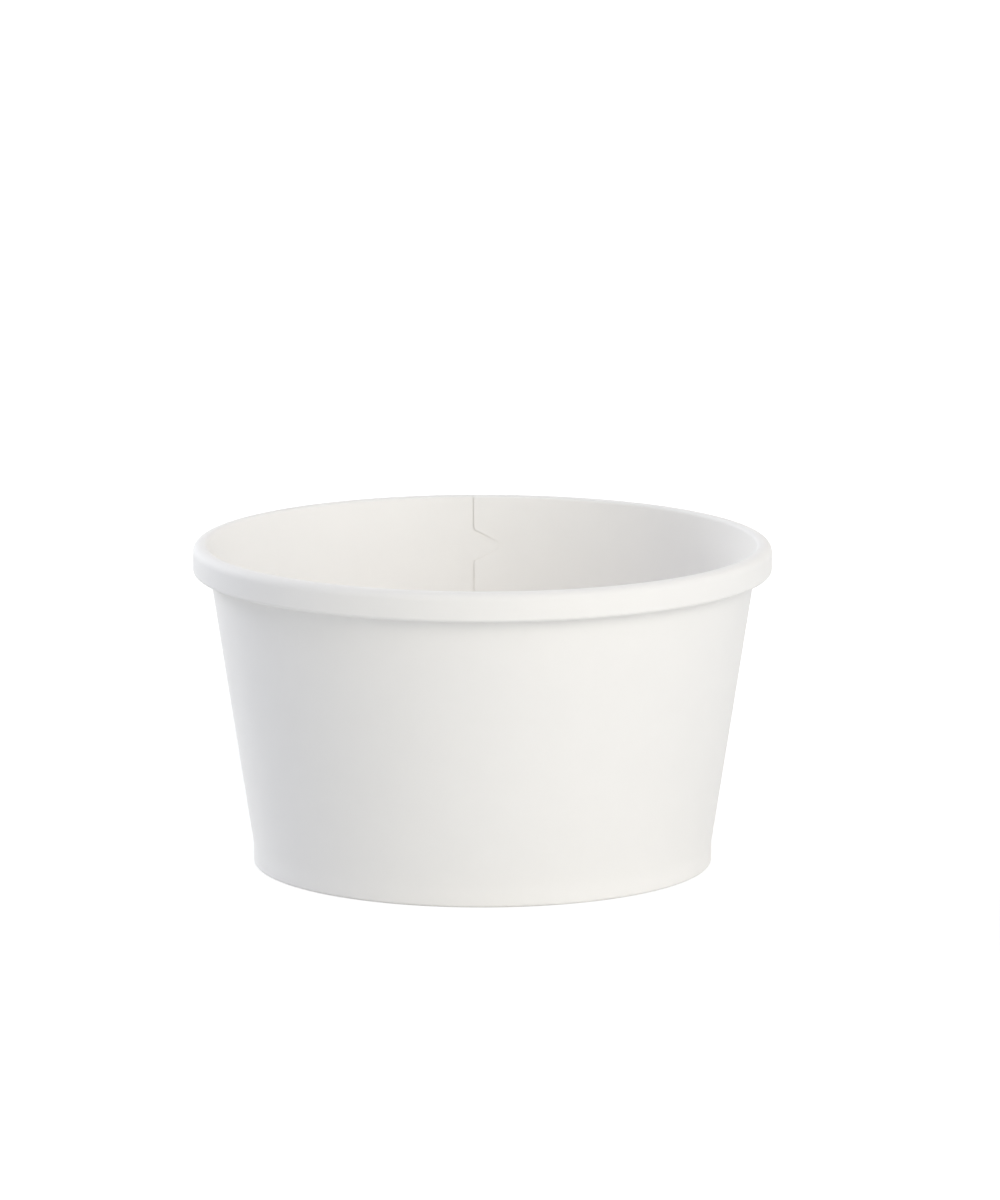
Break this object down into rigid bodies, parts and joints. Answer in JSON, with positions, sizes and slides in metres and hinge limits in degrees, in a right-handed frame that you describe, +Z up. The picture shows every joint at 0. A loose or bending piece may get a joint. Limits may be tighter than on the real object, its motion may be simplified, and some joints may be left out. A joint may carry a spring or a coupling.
{
  "type": "paper soup bowl",
  "caption": "Round paper soup bowl with a leaning wall, a rolled rim for a lid and a recessed base in a folded foot.",
  "frame": {"origin": "on the table, at the centre of the foot", "axes": "+Z up along the bowl's axis; the side seam is on the +Y side"},
  "size_m": [0.1151, 0.1153, 0.0645],
  "materials": {
    "wall_board": "white coated board, satin",
    "disc_board": "white coated board, satin"
  },
  "bodies": {
    "root": {"side_wall": "wall_board", "base_disc": "disc_board"}
  },
  "joints": []
}
